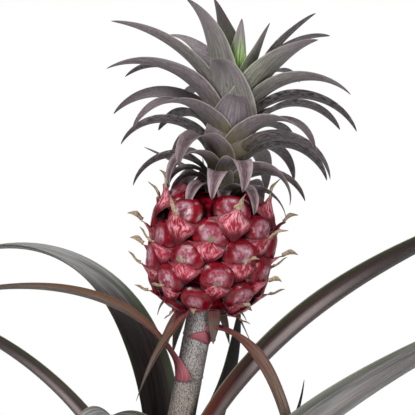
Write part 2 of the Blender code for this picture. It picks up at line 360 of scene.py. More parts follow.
def grown(tree, mesh, values):
    """The mesh that a pattern makes from this one, with its inputs set by their identifiers."""
    base = in_scene("pattern_base", mesh.copy())
    pattern = base.modifiers.new("pattern", "NODES")
    pattern.node_group = tree
    for item in tree.interface.items_tree:
        if item.item_type == "SOCKET" and item.in_out == "INPUT" and item.name in values:
            pattern[item.identifier] = values[item.name]
    reading = bpy.context.evaluated_depsgraph_get()
    result = bpy.data.meshes.new_from_object(
        base.evaluated_get(reading), preserve_all_data_layers=True, depsgraph=reading)
    base.modifiers.clear()
    bpy.data.objects.remove(base)
    return result


def kept_aside(name, shapes):
    """A collection that holds shapes for a pattern to repeat, outside the scene."""
    shelf = bpy.data.collections.new(name)
    for shape in shapes:
        shelf.objects.link(shape)
    return shelf


scatter, g, given = new_pattern("scatter_on_soil", (
    ("Shapes", "Collection"), ("Per Square Metre", "Float"), ("Smallest", "Float"),
    ("Largest", "Float"), ("Seed", "Int"), ("Material", "Material")))
facing_up = g.height_of(g.node("GeometryNodeInputNormal"))
spots = g.node("GeometryNodeDistributePointsOnFaces", {}, {
    "Mesh": given("Geometry"), "Selection": facing_up.math("GREATER_THAN", 0.4),
    "Density": given("Per Square Metre"), "Seed": given("Seed")})
height = g.height_of(g.node("GeometryNodeInputPosition"))
spots = g.node("GeometryNodeDeleteGeometry", {}, {
    "Geometry": spots, "Selection": height.math("LESS_THAN", SOIL_EDGE_HEIGHT - SOIL_RISE)})
spin = g.node("FunctionNodeRandomValue", {"data_type": "FLOAT_VECTOR"},
              {"Max": (6.28, 6.28, 6.28), "Seed": given("Seed")})
size = g.node("FunctionNodeRandomValue", {"data_type": "FLOAT"},
              {2: given("Smallest"), 3: given("Largest"), "Seed": given("Seed")}, out=1)
shapes = g.node("GeometryNodeCollectionInfo", {},
                {"Collection": given("Shapes"), "Separate Children": True, "Reset Children": True})
copies = g.node("GeometryNodeInstanceOnPoints", {}, {
    "Points": spots, "Instance": shapes, "Pick Instance": True, "Rotation": spin, "Scale": size})
finish_pattern(g, copies, given("Material"))

perlite, g = new_finish("perlite")
g.surface(g.blend(shade(196, 190, 180), shade(232, 228, 220), g.noise(place_for(g), 600)), 0.9,
          g.noise(place_for(g), 2500), 0.3 * MM)
bark, g = new_finish("bark_chip")
g.surface(g.blend(shade(60, 38, 26), shade(120, 84, 58), g.noise(place_for(g), 500)), 0.85,
          g.noise(place_for(g), 1800), 0.3 * MM)
TOP_DRESSING = (
    ("soil_crumbs", peat, (1, 0.8, 0.6), 230000, 0.5, 1.7, 3),
    ("soil_perlite", perlite, (1, 0.9, 0.8), 9000, 0.8, 1.8, 5),
    ("soil_bark", bark, (1.6, 0.9, 0.35), 12000, 1.1, 2.6, 8),
)
for name, look, size, density, smallest, largest, seed in TOP_DRESSING:
    shelf = kept_aside(name + "_shapes", [lump(f"{name}_{i}", size, seed + i) for i in range(3)])
    mesh = grown(scatter, soil_mesh, {
        "Shapes": shelf, "Per Square Metre": float(density), "Smallest": smallest * MM,
        "Largest": largest * MM, "Seed": seed, "Material": look})
    put_in_place(name, mesh, look, "soil")

# ---------------------------------------------------------------------------------------------
# Stem. The short woody trunk narrows into the grey fruit stalk, one growth from the soil to the
# fruit, ringed by old leaf scars and covered all over in pitted, salt-and-pepper scurf.
STEM_COURSE = (  # x, z and radius, in mm
    (0.0, 84, 10.5), (0.0, 108, 12.0), (0.2, 140, 12.0), (1.1, 165, 11.0), (4.5, 190, 9.6),
    (9.0, 214, 8.7), (13.6, 240, 8.4), (19.0, 268, 8.4), (24.4, 294.5, 8.6))
LEAF_SCARS = (112, 119, 127, 134, 143, 152, 163, 176, 191, 206, 221, 249, 276)
RIDGE, GROOVE, GROOVE_BELOW = 0.35, 0.3, 1.5  # of each scar, in mm
STEM_STEPS, STEM_RINGS = 72, 420

course = np.array(STEM_COURSE)
heights = np.linspace(course[0, 1], course[-1, 1], STEM_RINGS)


def eased_through(x, xs, ys):
    """A smooth curve through the given points."""
    slopes = np.gradient(ys, xs)
    i = np.clip(np.searchsorted(xs, x) - 1, 0, len(xs) - 2)
    width = xs[i + 1] - xs[i]
    t = (x - xs[i]) / width
    return (ys[i] * (2 * t**3 - 3 * t**2 + 1) + slopes[i] * width * (t**3 - 2 * t**2 + t)
            + ys[i + 1] * (3 * t**2 - 2 * t**3) + slopes[i + 1] * width * (t**3 - t**2))


stem_x = eased_through(heights, course[:, 1], course[:, 0])
stem_radius = eased_through(heights, course[:, 1], course[:, 2])
for scar in LEAF_SCARS:  # a low ridge over a shallow groove
    stem_radius += RIDGE * np.exp(-(((heights - scar) / 0.8) ** 2))
    stem_radius -= GROOVE * np.exp(-(((heights - scar + GROOVE_BELOW) / 0.7) ** 2))
around = 2 * np.pi * np.arange(STEM_STEPS) / STEM_STEPS
ripple = 1 + 0.012 * np.sin(5 * around[None, :] + heights[:, None] / 17) + 0.01 * np.sin(
    9 * around[None, :] - heights[:, None] / 11)
reach = stem_radius[:, None] * ripple
stem_points = np.stack([stem_x[:, None] + reach * np.cos(around), reach * np.sin(around),
                        np.repeat(heights[:, None], STEM_STEPS, 1)], -1).reshape(-1, 3) * MM


def tube_faces(rings, size):
    """Faces that join equal closed rings end to end, with a cap on each end."""
    faces = [tuple(reversed(range(size)))]
    for i in range(rings - 1):
        for j in range(size):
            k = (j + 1) % size
            faces.append((i * size + j, i * size + k, (i + 1) * size + k, (i + 1) * size + j))
    faces.append(tuple(range((rings - 1) * size, rings * size)))
    return faces


scurf, g = new_finish("stem_scurf")
where = place_for(g)
pits = g.noise(g.stretched(where, (1, 1, 0.5)), 1900, 3, 0.6)
dust = g.noise(g.stretched(where, (1, 1, 0.7)), 3200, 2)
patches = g.noise(where, 95, 3)
height = g.height_of(where)
light_scurf = g.blend(shade(164, 148, 136), shade(192, 188, 188), g.ease(height, 0.21, 0.28))
dark_pit = g.blend(shade(60, 44, 34), shade(58, 52, 50), g.ease(height, 0.21, 0.28))
skin = g.blend(dark_pit, light_scurf, g.ease(pits, 0.37, 0.56))
skin = g.blend(skin, shade(196, 192, 190), g.ease(dust, 0.60, 0.72) * 0.55)
brown = g.ease(patches, 0.52, 0.72) * (1 - g.ease(height, 0.21, 0.30))
skin = g.blend(skin, shade(112, 84, 70), brown * 0.55)
g.surface(skin, 0.86, pits + dust * 0.4, 0.5 * MM)
stem_mesh = closed_mesh("stem", stem_points, tube_faces(STEM_RINGS, STEM_STEPS))
put_in_place("stem", stem_mesh, scurf, "stem", "stem")

# ---------------------------------------------------------------------------------------------
# Rosette leaves. Long channelled strap leaves that clasp the trunk with broad bases and arch
# over: dark maroon with green margins above, dusted with grey scurf below, reddish at the foot.
LEAF_STATIONS, LEAF_ACROSS = 56, 13
NARROWEST, MARGIN_RIPPLE, THINNER_MARGIN = 0.16 * MM, 0.035, 0.86


def leaning_frame(base, lean):
    """Origin and rotation of a frame whose Z leans towards +X by this many degrees."""
    turn = math.radians(lean)
    c, s = math.cos(turn), math.sin(turn)
    return np.array(base), np.array(((c, 0, s), (0, 1, 0), (-s, 0, c)))


def in_frame(points, leaning):
    origin, rotation = leaning
    return points @ rotation.T + origin


def mark(mesh, label, values):
    """Stores one number a vertex, for a material to read."""
    stored = mesh.attributes.new(label, "FLOAT", "POINT")
    stored.data.foreach_set("value", np.asarray(values, np.float32))


def leaf_mesh(name, base, azimuth, length, width, rise, droop, stiff, sweep, twist, seed, tone,
              tint=0.0, *, clasp, hug, outline, flat, curl_tip=32, thick=0.9 * MM, taper=0.7,
              leaning=None):
    """A channelled strap leaf with thin margins.

    It climbs its stem for the hug length, leaves it at the rise angle and bends down by the
    droop angle; a stiff value above 1 keeps the bend for the tip. Its base is rolled to the
    clasp radius, and flat and curl_tip are its channel, in degrees, further on and at the tip.
    Its vertices carry how far along and across the leaf they are, which side they are on, and
    its tone and tint.
    """
    rough = np.random.default_rng(seed + 1000)
    stations, across = LEAF_STATIONS, LEAF_ACROSS
    total = length + hug
    s = np.linspace(0, 1, stations) ** 1.15
    past = np.clip((s * total - hug) / length, 0, 1)
    climb = np.clip(s * total / max(hug * 1.6, 1e-6), 0, 1) if hug else np.ones(stations)
    climb = climb * climb * (3 - 2 * climb)
    lift = np.radians(90 + (rise - 90) * climb - droop * past**stiff)
    turn = np.radians(azimuth + sweep * past + rough.uniform(-1.2, 1.2) * np.sin(5 * past))
    along = np.stack([np.cos(lift) * np.cos(turn), np.cos(lift) * np.sin(turn), np.sin(lift)], -1)
    spine = np.zeros((stations, 3))
    spine[1:] = np.cumsum((along[1:] + along[:-1]) / 2 * np.diff(s)[:, None] * total, axis=0)
    spine += np.array(base) - np.array((0, 0, hug))
    side = np.stack([-np.sin(turn), np.cos(turn), np.zeros(stations)], -1)
    inward = np.cross(along, side)
    roll = np.radians(twist * past**0.6 + rough.uniform(-3, 3) * np.sin(4 * past))[:, None]
    side, inward = (side * np.cos(roll) + inward * np.sin(roll),
                    inward * np.cos(roll) - side * np.sin(roll))
    shares = eased_through(s, np.array([p for p, _ in outline]), np.array([v for _, v in outline]))
    half = width / 2 * (1 - s) ** taper * shares
    half = np.maximum(np.minimum(half, clasp * (0.97 + 30 * s**1.2)), NARROWEST)
    base_curl = math.degrees(math.asin(min(0.97, half[0] / clasp)))
    curl = np.radians(np.interp(s, [0, 0.3, 1], [base_curl, flat, curl_tip]))
    u = np.linspace(-1, 1, across)
    u = np.sign(u) * np.abs(u) ** 0.85
    bow = (half / np.sin(curl))[:, None]
    lateral = (bow * np.sin(curl[:, None] * u))[..., None] * side[:, None, :]
    raised = bow * (1 - np.cos(curl[:, None] * u))
    wave = np.sin(past[:, None] * rough.uniform(9, 14) + u * rough.uniform(0.6, 1.4)
                  + rough.uniform(0, 6))
    raised = raised + wave * half[:, None] * MARGIN_RIPPLE * u**2
    body = thick * (1 - 0.5 * s)[:, None] * (1 - THINNER_MARGIN * u**2)
    body = np.minimum(body, 0.6 * half[:, None] + 0.1 * MM)
    under = spine[:, None, :] + lateral + raised[..., None] * inward[:, None, :]
    upper = under + body[..., None] * inward[:, None, :]
    rings = np.concatenate([under, upper[:, ::-1]], axis=1).reshape(-1, 3)
    if leaning is not None:
        rings = in_frame(rings, leaning)
    mesh = closed_mesh(name, rings, tube_faces(stations, 2 * across))
    both = np.concatenate([u, u[::-1]])
    mark(mesh, "along", np.repeat(s, 2 * across))
    mark(mesh, "edge", np.tile(np.abs(both), stations))
    mark(mesh, "under", np.tile(np.repeat([1.0, 0.0], across), stations))
    mark(mesh, "tone", np.full(len(rings), tone))
    mark(mesh, "tint", np.full(len(rings), tint))
    grain_u = np.tile(both, stations) * width / 2 / MM + 60 * (seed % 23)
    grain_v = np.repeat(s, 2 * across) * total / MM + 37 * (seed % 17)
    corners = np.empty(len(mesh.loops), np.int32)
    mesh.loops.foreach_get("vertex_index", corners)
    flat_map = mesh.uv_layers.new(name="leaf_grain")
    grain = np.stack([grain_u[corners], grain_v[corners]], -1)
    flat_map.data.foreach_set("uv", grain.astype(np.float32).ravel())
    mesh.set_sharp_from_angle(angle=math.radians(60))
    return mesh


def leaf_noise(g, across, along, detail=2, rough=0.55):
    """Noise laid on the leaf itself, with its pitch across and along in cycles a mm."""
    grain = g.node("ShaderNodeUVMap", {"uv_map": "leaf_grain"})
    return g.noise(g.stretched(grain, (across, along, 1)), 1.0, detail, rough)


rosette_skin, g = new_finish("rosette_leaf_skin")
along, edge, under, tone, tint = g.attributes("along", "edge", "under", "tone", "tint")
ribs, streaks = leaf_noise(g, 1.5, 0.012), leaf_noise(g, 0.35, 0.02, 3)
dust, clouds = leaf_noise(g, 5, 1.6, 3, 0.65), leaf_noise(g, 0.1, 0.035)
centre = g.blend(shade(20, 13, 12), shade(48, 34, 32), g.ease(streaks, 0.35, 0.70))
centre = g.blend(centre, shade(80, 70, 68), g.ease(ribs, 0.56, 0.75) * 0.15)
green = g.blend(shade(26, 36, 16), shade(66, 80, 40), streaks)
upper = g.blend(centre, green, g.ease(edge + (clouds - 0.5) * 0.4, 0.60, 0.86) * 0.8)
bare = g.blend(shade(44, 24, 22), shade(84, 62, 62), g.ease(streaks, 0.35, 0.70))
grey = g.blend(shade(96, 92, 92), shade(150, 150, 149),
               g.ease(streaks * 0.6 + ribs * 0.4, 0.35, 0.65))
lower = g.blend(bare, grey, g.ease(tint + (dust - 0.5) * 0.5 + (clouds - 0.5) * 0.3, 0.25, 0.75))
# Painted highlight: a pale lilac band along the underside between midrib and margin, where a glossy
# reflection would lie; the red foot fades out under it.
painted_highlight_band = g.ease(edge, 0.14, 0.36) * (1 - g.ease(edge + (streaks - 0.5) * 0.2, 0.46, 0.70))
painted_highlight_band = painted_highlight_band * g.ease(along, 0.06, 0.20) * (1 - g.ease(along, 0.42, 0.70)) * (1 - tint)
lower = g.blend(lower, shade(194, 178, 176), painted_highlight_band * 0.92)
lower = g.blend(lower, shade(34, 22, 20), g.ease(along, 0.40, 0.66) * (1 - tint) * 0.8)
lower = g.blend(lower, green, g.ease(edge, 0.72, 0.9) * 0.5)
red_foot = (1 - g.ease(along, 0.14, 0.36)) * (1 - painted_highlight_band * 0.8)
lower = g.blend(lower, shade(112, 46, 36), red_foot * 0.8)
upper = g.blend(upper, grey, g.ease(along + (streaks - 0.5) * 0.2, 0.36, 0.56) * tint)
leaf_colour = g.blend(upper, lower, under)
leaf_colour = g.blend(leaf_colour, shade(140, 138, 122), g.ease(edge, 0.955, 0.99) * 0.7)
leaf_colour = g.blend(leaf_colour, shade(14, 11, 10), (1 - tone) * 0.55)
g.surface(leaf_colour, 0.34 + dust * 0.10 + tint * 0.2, ribs + dust * 0.12, 0.3 * MM,
          Specular_IOR_Level=0.35)

# Place round the trunk, height, azimuth, length, width, rise, droop, stiffness, sweep, twist, then
# tone, how grey its underside is, and how deep its channel is in degrees.
ROSETTE_LEAVES = (
    ("right_front", -12, 182, 0, 300, 36, 84, 67, 0.48, 0, -42, 0.8, 0.1, 58),
    ("left_broad", 135, 184, 120, 300, 36, 92, 157, 1.28, 60, 0, 0.6, 0.95, 40),
    ("back_upright", 42, 180, 24, 118, 36, 50, -38, 0.8, 0, 0, 0.9, 0.05, 34),
    ("left_corner", -166, 136, -172, 262, 32, 84, 78, 0.9, 0, 25, 0.6, 0.2, 55),
    ("left_low", -116, 160, -112, 190, 34, 87, 148, 1.1, 0, 0, 0.9, 0.9, 50),
    ("right_low", -18, 140, -16, 300, 52, 48, 30, 1.3, 0, -30, 0.95, 0.75, 60),
    ("right_spike", 32, 137, 30, 140, 12, 34, -50, 2.0, 0, 0, 0.8, 0.2, 50),
    ("front_left", -128, 122, -130, 190, 34, 70, 132, 0.9, 0, 0, 0.8, 0.4, 50),
    ("front", -84, 128, -84, 220, 36, 68, 124, 0.9, 0, 0, 0.8, 0.4, 50),
    ("front_right", -46, 116, -44, 250, 36, 58, 95, 0.9, 0, 0, 0.8, 0.4, 50),
    ("back_left", 122, 131, 124, 230, 34, 66, 110, 0.9, 0, 0, 0.8, 0.4, 50),
    ("back", 96, 113, 96, 240, 32, 58, 102, 0.9, 0, 0, 0.7, 0.4, 50),
    ("back_right", 66, 124, 64, 240, 34, 64, 106, 0.9, 0, 0, 0.8, 0.4, 50),
    ("left_lowest", -166, 114, -166, 200, 32, 56, 95, 0.9, 0, 0, 0.7, 0.4, 50),
    ("right_lowest", 16, 112, 16, 190, 32, 52, 90, 0.9, 0, 0, 0.75, 0.4, 50),
)
OFF_THE_TRUNK = 1.4  # mm
for seed, row in enumerate(ROSETTE_LEAVES):
    (name, place, height, azimuth, length, width, rise, droop, stiff, sweep, twist, tone, tint,
     channel) = row
    name = "rosette_leaf_" + name
    place = math.radians(place)
    clasp = (np.interp(height, course[:, 1], course[:, 2]) + OFF_THE_TRUNK) * MM
    base = (clasp * math.cos(place) + np.interp(height, course[:, 1], course[:, 0]) * MM,
            clasp * math.sin(place), height * MM)
    mesh = leaf_mesh(name, base, azimuth, length * MM, width * MM, rise, droop, stiff, sweep, twist,
                     seed, tone, tint, clasp=clasp, thick=1.3 * MM, taper=0.6, hug=5 * MM,
                     outline=((0, 0.72), (0.12, 0.80), (0.25, 1), (1, 1)), flat=channel,
                     curl_tip=0.65 * channel)
    put_in_place(name, mesh, rosette_skin, "rosette_leaf", name)

# ---------------------------------------------------------------------------------------------
# Stalk leaves. Thin brownish leaves on the fruit stalk, each from a flared pink base wrapped on
# it, and small dry bracts that hang under the fruit like a ruff.
stalk_skin, g = new_finish("stalk_leaf_skin")
along, edge, under, tone = g.attributes("along", "edge", "under", "tone")
streaks, dust = leaf_noise(g, 1.6, 0.05, 3), leaf_noise(g, 6, 2, 3, 0.65)
upper = g.blend(shade(78, 56, 46), shade(136, 114, 98), g.ease(streaks, 0.35, 0.65))
lower = g.blend(shade(90, 74, 68), shade(132, 120, 112), g.ease(streaks, 0.35, 0.65))
lower = g.blend(lower, shade(122, 80, 34), g.ease(edge + (streaks - 0.5) * 0.25, 0.60, 0.74) * 0.85)
leaf_colour = g.blend(upper, lower, under)
flush = g.ease(streaks + (0.36 - along) * 0.7, 0.50, 0.64)
leaf_colour = g.blend(leaf_colour, shade(134, 62, 52), flush * 0.7)
leaf_colour = g.blend(leaf_colour, shade(98, 92, 90), g.ease(along, 0.40, 0.85) * 0.65)
dark_margin = g.ease(edge + (streaks - 0.5) * 0.3, 0.66, 0.92)
leaf_colour = g.blend(leaf_colour, shade(52, 40, 34), dark_margin * 0.55)
foot = g.blend(shade(116, 22, 38), shade(188, 108, 118),
               g.ease(dust * 0.6 + streaks * 0.4, 0.36, 0.6))
leaf_colour = g.blend(leaf_colour, foot, 1 - g.ease(along + (streaks - 0.5) * 0.1, 0.05, 0.17))
leaf_colour = g.blend(leaf_colour, shade(176, 160, 152), g.ease(dust, 0.60, 0.72) * 0.35)
leaf_colour = g.blend(leaf_colour, shade(30, 20, 18), (1 - tone) * 0.6)
g.surface(leaf_colour, 0.55, streaks + dust * 0.4, 0.2 * MM)

FLARED = ((0, 1.1), (0.03, 0.95), (0.075, 0.48), (0.12, 0.42), (0.3, 0.9), (0.5, 1), (1, 1))
PLAIN = ((0, 0.8), (0.2, 1), (1, 1))
# x, y, z, azimuth, length, width, rise, droop, stiffness, twist, hug, tone, channel, outline
STALK_LEAVES = (
    ("left_long", 7.2, -3, 257, 186, 166, 20, 80, 98, 0.5, 22, 9, 0.95, 68, FLARED),
    ("right", 29.6, -3.2, 277, -38, 134, 17, 70, 160, 0.25, 10, 6, 0.95, 44, FLARED),
    ("left_hanging", 16.8, -7.0, 290, -152, 64, 20, -44, 22, 1.0, 22, 0, 1.0, 40, PLAIN),
    ("right_hanging", 30.0, -7.4, 290, -76, 20, 9.5, -84, 10, 1.0, 0, 0, 0.9, 36, PLAIN),
    ("ruff_left_curl", 7.0, -9, 299, -168, 16, 8, -16, 64, 1.0, 0, 0, 1.0, 40, PLAIN),
    ("ruff_right_red", 40.0, -9, 293, -22, 14, 5, -14, 50, 1.0, 0, 0, 1.0, 40, PLAIN),
    ("ruff_right_dark", 40.0, 3, 293, -8, 26, 6, -56, 10, 1.0, 0, 0, 0.4, 40, PLAIN),
    ("ruff_left_dark", 8.0, 8, 292, 176, 28, 6, -84, -14, 1.0, 0, 0, 0.25, 40, PLAIN),
    ("ruff_back_left", 14.0, 9, 290, 120, 34, 9, -50, 20, 1.0, 0, 0, 0.8, 40, PLAIN),
    ("ruff_back_right", 32.0, 10, 292, 60, 30, 8, -46, 24, 1.0, 0, 0, 0.8, 40, PLAIN),
)
for seed, row in enumerate(STALK_LEAVES):
    (name, x, y, z, azimuth, length, width, rise, droop, stiff, twist, hug, tone, channel,
     outline) = row
    name = "stalk_leaf_" + name
    mesh = leaf_mesh(name, (x * MM, y * MM, z * MM), azimuth, length * MM, width * MM, rise, droop,
                     stiff, 0, twist, 40 + seed, tone, clasp=9.2 * MM, thick=0.8 * MM, hug=hug * MM,
                     outline=outline, flat=channel, curl_tip=0.75 * channel)
    stands_for = [name] if "ruff" not in name else []
    put_in_place(name, mesh, stalk_skin, "stalk_leaf", *stands_for)

# The right leaf's pink clasp lies across the front of the stem and widens towards the leaf.
CLASP_STEPS = 30
around_stem = np.radians(np.linspace(-126, -4, CLASP_STEPS))
share = np.linspace(0, 1, CLASP_STEPS)
centre_height = 274.5 - 0.8 * share + 0.6 * np.sin(share * 5)
half_height = 0.3 + 5.6 * share**0.8 * (1 - share**6 * 0.9)
centre_x = np.interp(centre_height, course[:, 1], course[:, 0])
close = np.interp(centre_height, course[:, 1], course[:, 2]) + 0.1
section = ((-1, 0), (-0.6, 0.7), (0, 0.9), (0.6, 0.9), (1, 0.35), (1, -0.4), (0, -0.4), (-1, -0.4))
clasp_points = np.stack([np.stack([
    centre_x + (close + out) * np.cos(around_stem), (close + out) * np.sin(around_stem),
    centre_height + up * half_height], -1) for up, out in section], 1).reshape(-1, 3)
clasp_mesh = closed_mesh("stalk_leaf_right_clasp", clasp_points * MM,
                         tube_faces(CLASP_STEPS, len(section)))
for label, value in (("along", 0.02), ("under", 1.0), ("edge", 0.0), ("tone", 0.75)):
    mark(clasp_mesh, label, np.full(len(clasp_points), value))
put_in_place("stalk_leaf_right_clasp", clasp_mesh, stalk_skin, "stalk_leaf")

# ---------------------------------------------------------------------------------------------
# Fruit. Dozens of eyes fused round a core, each a glossy cushion over a scurfy pink bract whose
# dried tip curls out. Eyes follow each other at the golden angle, one small rise at a time.
FRUIT_BASE, FRUIT_LEAN = (23.6 * MM, 0, 292.2 * MM), 8.5
FRUIT_LENGTH, FRUIT_RADIUS = 68 * MM, 32.2 * MM
GOLDEN_ANGLE = math.radians(137.508)
FIRST_EYE_ANGLE = math.radians(70)
EYE_RISE, FIRST_EYE, EYES = 1.80 * MM, 1, 37
fruit_frame = leaning_frame(FRUIT_BASE, FRUIT_LEAN)

flesh_outline = [(0, 0)]
for share in (1 - np.cos(np.linspace(0, np.pi, 60))) / 2:
    bulge = max(0.0, 1 - abs(2 * share - 1) ** (2.6 if share < 0.5 else 3.3)) ** 0.5
    flesh_outline.append((FRUIT_RADIUS * (0.34 + 0.66 * bulge), FRUIT_LENGTH * share))
flesh_outline.append((0, FRUIT_LENGTH))
flesh_mesh = closed_mesh("fruit_flesh", *turned(flesh_outline, 96))

# Eyes are made flat on their own: X round the fruit, Y up it and Z outwards, in mm.
DOME_WIDE, DOME_TALL, DOME_HIGH, DOME_SUNK = 11.8, 10.4, 6.4, 3.2
NAVEL_DROP = 0.42  # how far below the middle the sepals meet, as a share of the half height
BRACT_COURSE = (  # share from foot to beak, y, z and half width
    (0.0, -17.5, 0.4, 0.9), (0.2, -14.8, 2.8, 3.8), (0.42, -11.6, 5.0, 7.2),
    (0.60, -8.8, 6.3, 12.6), (0.70, -7.0, 7.4, 9.8), (0.80, -5.6, 8.6, 6.6),
    (0.90, -4.6, 9.8, 4.4), (1.0, -3.9, 11.6, 2.4))
TIP_FOOT = (0, -4.3, 10.6)


def wobble(points, size, seed, pitch):
    """Moves points by a smooth random field."""
    rough = np.random.default_rng(seed)
    moved = points.copy()
    for _ in range(5):
        direction, phase = rough.normal(size=3), rough.uniform(0, 6.28)
        push = rough.normal(size=3)
        moved += np.sin(points @ direction / pitch + phase)[:, None] * push / 5 * size
    return moved


def dome_shape(name, seed):
    """One cushion: three closed sepals with shallow creases that meet at a low navel."""
    around, rings = 44, 15
    rough = np.random.default_rng(seed)
    creases = rough.uniform(0, 1) + np.array((0, 2.1, 4.2))
    shares = np.sin(np.linspace(0, np.pi / 2, rings + 1)[1:])
    points = []
    for share in shares:
        for j in range(around):
            turn = 2 * math.pi * j / around
            square = (abs(math.cos(turn)) ** 2.5 + abs(math.sin(turn)) ** 2.5) ** (-1 / 2.5)
            x, y = share * square * math.cos(turn), share * square * math.sin(turn)
            if y < 0:
                y *= 1.06
            z = max(0.0, 1 - share**3.4) ** 0.6
            navel = math.hypot(x * 1.3, y + NAVEL_DROP)
            z -= 0.14 * math.exp(-((navel / 0.22) ** 2))
            heading = math.atan2(y + NAVEL_DROP, x * 1.3)
            fading = min(1, navel * 3) * max(0, 1 - share**6)
            for crease in creases:
                off = (heading - crease + math.pi) % (2 * math.pi) - math.pi
                z -= 0.055 * math.exp(-((off / 0.16) ** 2)) * fading
            points.append((x * DOME_WIDE, y * DOME_TALL, z * DOME_HIGH))
    for j in range(around):
        x, y, z = points[(rings - 1) * around + j]
        points.append((x * 1.01, y * 1.01, -DOME_SUNK))
    points = wobble(np.array(points), 0.45, seed, 4.5)
    faces = [tuple(range(around))]
    for i in range(rings):
        for j in range(around):
            k = (j + 1) % around
            low, high = i * around, (i + 1) * around
            faces.append((low + j, low + k, high + k, high + j))
    faces.append(tuple(reversed(range(rings * around, (rings + 1) * around))))
    mesh = closed_mesh(name, points * MM, faces)
    mark(mesh, "out", np.repeat(np.append(shares, 1.1), around))
    mark(mesh, "fan", np.arctan2(points[:, 1] + 4, points[:, 0]))
    return bpy.data.objects.new(name, mesh)


def bract_shape(name, seed):
    """One bract: a shield with drawn-out corners and a keel, rising to a beak."""
    rows, across = 30, 19
    v = np.linspace(0, 1, rows)
    course = np.array(BRACT_COURSE)
    y, z, half = (np.interp(v, course[:, 0], course[:, k]) for k in (1, 2, 3))
    for _ in range(2):
        z[1:-1] = (z[:-2] + 2 * z[1:-1] + z[2:]) / 4
    half[1:-1] = (half[:-2] + 2 * half[1:-1] + half[2:]) / 4
    rough = np.random.default_rng(seed)
    u = np.linspace(-1, 1, across)
    one_side = 1 + rough.uniform(-0.16, 0.16) * u
    x = half[:, None] * u * one_side
    keel = 0.30 * half[:, None] * np.abs(u) ** 1.4 + x**2 / (2 * 30)
    pleats = 0.22 * np.cos(u * rough.uniform(9, 13) + seed) * (half[:, None] / 12)
    corner = np.exp(-(((v - 0.60) / 0.11) ** 2))[:, None] * np.abs(u) ** 3
    up = np.repeat(z[:, None], across, 1) - keel + pleats + 0.5 * corner
    saddle = (1 - np.abs(u)) * np.exp(-(((v - 0.7) / 0.12) ** 2))[:, None]
    tall = np.repeat(y[:, None], across, 1) + 3.4 * corner - 0.8 * saddle
    top = np.stack([x, tall, up], -1)
    thin = 0.9 - 0.6 * np.abs(u)[None, :] + 0.5 * v[:, None] ** 6
    low = top - np.stack([0 * x, 0.4 * thin, thin], -1)
    points = np.concatenate([top, low[:, ::-1]], axis=1).reshape(-1, 3)
    points = wobble(points, 0.7, seed, 3.4)
    mesh = closed_mesh(name, points * MM, tube_faces(rows, 2 * across))
    mark(mesh, "climb", np.repeat(v, 2 * across))
    mark(mesh, "cross", np.tile(np.concatenate([u, u[::-1]]), rows))
    return bpy.data.objects.new(name, mesh)


def tip_shape(name, seed, length, bend, sway):
    """One dried bract tip: a thin, twisted, half-rolled ribbon."""
    rows, across = 16, 5
    s = np.linspace(0, 1, rows)
    rough = np.random.default_rng(seed)
    lean_up = np.radians(62 + bend * s**1.3 + 14 * np.sin(5 * s + seed))
    lean_side = np.radians(sway * s + 10 * np.sin(4 * s + 2 * seed))
    along = np.stack([np.sin(lean_side), np.cos(lean_up), np.sin(lean_up)], -1)
    spine = np.zeros((rows, 3))
    spine[1:] = np.cumsum(along[1:] * length / (rows - 1), axis=0)
    spine += np.array(TIP_FOOT)
    roll = np.radians(rough.uniform(-30, 30) + rough.uniform(-70, 70) * s)[:, None]
    side = np.stack([np.cos(roll[:, 0]), np.sin(roll[:, 0]), 0 * s], -1)
    inward = np.cross(along, side)
    half = np.interp(s, [0, 0.25, 0.55, 0.8, 1], [2.1, 2.2, 1.7, 0.9, 0.12])
    half = half * (1 + 0.2 * np.sin(9 * s + seed))
    u = np.linspace(-1, 1, across)
    lift = 0.55 * half[:, None] * u**2
    side, inward = side[:, None, :], inward[:, None, :]
    low = spine[:, None, :] + (half[:, None] * u)[..., None] * side + lift[..., None] * inward
    top = low + 0.5 * (1 - 0.5 * s)[:, None, None] * inward
    points = np.concatenate([low, top[:, ::-1]], axis=1).reshape(-1, 3)
    mesh = closed_mesh(name, points * MM, tube_faces(rows, 2 * across))
    mark(mesh, "climb", np.repeat(s, 2 * across))
    return bpy.data.objects.new(name, mesh)


spiral, g, given = new_pattern("eyes_at_the_golden_angle", (
    ("Shapes", "Collection"), ("Count", "Int"), ("First", "Int"), ("Rise", "Float"),
    ("Golden Angle", "Float"), ("First Angle", "Float"), ("Reach", "Float"),
    ("Fruit Length", "Float"), ("End Size", "Float"), ("Top Growth", "Float"),
    ("Jitter", "Float"), ("Seed", "Int"), ("Material", "Material")))
line = g.node("GeometryNodeMeshLine", {}, {"Count": given("Count")})
turn_number = g.node("GeometryNodeInputIndex") + given("First")
angle = turn_number * given("Golden Angle") + given("First Angle")
climb = turn_number * given("Rise")
start = g.vector(angle.math("COSINE") * given("Reach"), angle.math("SINE") * given("Reach"), climb)
aim = g.vector(angle.math("COSINE") * -1, angle.math("SINE") * -1)
hit = g.node("GeometryNodeRaycast", {}, {
    "Target Geometry": given("Geometry"), "Source Position": start, "Ray Direction": aim,
    "Ray Length": given("Reach")})
level = g.vector(angle.math("SINE") * -1, angle.math("COSINE"))
normal = g.node("ShaderNodeVectorMath", {"operation": "NORMALIZE"}, {0: hit.other("Hit Normal")})
upright = g.node("FunctionNodeAxesToRotation", {"primary_axis": "Z", "secondary_axis": "X"},
                 {"Primary Axis": normal, "Secondary Axis": level})
share = climb / given("Fruit Length") * 2 - 1
size = 1 - share.math("ABSOLUTE") ** 3 * (1 - given("End Size")) + share * given("Top Growth")
spots = g.node("GeometryNodeSetPosition", {},
               {"Geometry": line, "Position": hit.other("Hit Position")})
vary = g.node("FunctionNodeRandomValue", {"data_type": "FLOAT"},
              {2: 0.94, 3: 1.06, "Seed": given("Seed")}, out=1)
shapes = g.node("GeometryNodeCollectionInfo", {},
                {"Collection": given("Shapes"), "Separate Children": True, "Reset Children": True})
